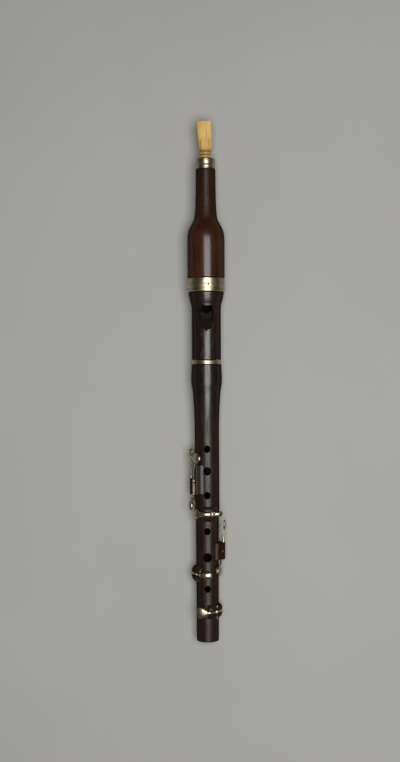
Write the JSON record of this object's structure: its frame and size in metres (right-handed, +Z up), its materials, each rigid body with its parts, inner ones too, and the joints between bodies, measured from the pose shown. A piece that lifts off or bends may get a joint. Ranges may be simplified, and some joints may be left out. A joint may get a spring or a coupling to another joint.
{
  "type": "flageolet",
  "caption": "Keyed fipple flute with a windcap: turned wooden tube in joints, bone beak, metal ferrules and sprung keys on pins in raised wooden blocks.",
  "frame": {"origin": "on the table, under the middle of the instrument's length, as it lies face up on its wide ferrule and two key cups", "axes": "+Y along the tube towards the beak, +Z up through the finger holes, +X to the right seen from above with the beak at the top"},
  "size_m": [0.03, 0.4151, 0.0306],
  "materials": {
    "dark_wood": "polished dark hardwood",
    "cap_wood": "polished reddish brown hardwood",
    "nickel_silver": "polished nickel silver with light tarnish",
    "steel": "darkened steel",
    "bone": "yellowed bone",
    "cork": "greased cork",
    "leather": "kid leather",
    "sponge": "dry sea sponge"
  },
  "bodies": {
    "lower_tube": {"body": "dark_wood", "rim_ferrule": "nickel_silver", "c_pin": "steel", "b_flat_pin": "steel", "long_f_pin": "steel", "g_sharp_pin": "steel", "short_f_pin": "steel", "d_sharp_pin": "steel"},
    "head": {"head_joint": "dark_wood", "fipple_block": "dark_wood", "windcap_cork": "cork", "head_tenon_cork": "cork"},
    "cap": {"windcap": "cap_wood", "sponge": "sponge", "windcap_ferrule": "nickel_silver", "ferrule_rivet": "steel", "top_ferrule": "nickel_silver"},
    "mouthpiece": {"beak": "bone", "beak_lapping": "cork"},
    "c_lever": {"c_key": "nickel_silver", "c_pad": "leather", "c_spring": "steel"},
    "b_flat_lever": {"b_flat_key": "nickel_silver", "b_flat_pad": "leather", "b_flat_spring": "steel"},
    "long_f_lever": {"long_f_key": "nickel_silver", "long_f_pad": "leather", "long_f_spring": "steel"},
    "g_sharp_lever": {"g_sharp_key": "nickel_silver", "g_sharp_pad": "leather", "g_sharp_spring": "steel"},
    "short_f_lever": {"short_f_key": "nickel_silver", "short_f_pad": "leather", "short_f_spring": "steel"},
    "d_sharp_lever": {"d_sharp_key": "nickel_silver", "d_sharp_pad": "leather", "d_sharp_spring": "steel"}
  },
  "joints": [
    {"name": "head_slide", "type": "slide", "parent": "lower_tube", "child": "head", "axis": [0, 0.9998, 0.0202], "range_m": [0, 0.02]},
    {"name": "cap_slide", "type": "slide", "parent": "head", "child": "cap", "axis": [0, 0.9998, 0.0202], "range_m": [0, 0.016]},
    {"name": "beak_slide", "type": "slide", "parent": "cap", "child": "mouthpiece", "axis": [0, 0.9998, 0.0202], "range_m": [0, 0.012]},
    {"name": "c_hinge", "type": "hinge", "parent": "lower_tube", "child": "c_lever", "pos_m": [-0.01057, -0.07881, 0.01797], "axis": [0.5, -0.0175, 0.8658], "range_deg": [0, 5], "stiffness_Nm_per_rad": 0.02, "springref_deg": -20.05, "deforming": ["c_spring"]},
    {"name": "b_flat_hinge", "type": "hinge", "parent": "lower_tube", "child": "b_flat_lever", "pos_m": [-0.01228, -0.08347, 0.01113], "axis": [0.0523, 0.0202, -0.9984], "range_deg": [0, 4], "stiffness_Nm_per_rad": 0.02, "springref_deg": -20.05, "deforming": ["b_flat_spring"]},
    {"name": "long_f_hinge", "type": "hinge", "parent": "lower_tube", "child": "long_f_lever", "pos_m": [0.01238, -0.13539, 0.01138], "axis": [-0.0523, -0.0202, 0.9984], "range_deg": [0, 6], "stiffness_Nm_per_rad": 0.02, "springref_deg": -20.05, "deforming": ["long_f_spring"]},
    {"name": "g_sharp_hinge", "type": "hinge", "parent": "lower_tube", "child": "g_sharp_lever", "pos_m": [0.0039, -0.10509, 0.02206], "axis": [0, 0.9998, 0.0202], "range_deg": [0, 12], "stiffness_Nm_per_rad": 0.02, "springref_deg": -20.05, "deforming": ["g_sharp_spring"]},
    {"name": "short_f_hinge", "type": "hinge", "parent": "lower_tube", "child": "short_f_lever", "pos_m": [-0.00893, -0.15329, 0.01662], "axis": [0, 0.9998, 0.0202], "range_deg": [0, 10], "stiffness_Nm_per_rad": 0.04, "springref_deg": -28.65, "deforming": ["short_f_spring"]},
    {"name": "d_sharp_hinge", "type": "hinge", "parent": "lower_tube", "child": "d_sharp_lever", "pos_m": [0.00736, -0.18312, 0.01766], "axis": [0, -0.9998, -0.0202], "range_deg": [0, 10], "stiffness_Nm_per_rad": 0.04, "springref_deg": -28.65, "deforming": ["d_sharp_spring"]}
  ]
}
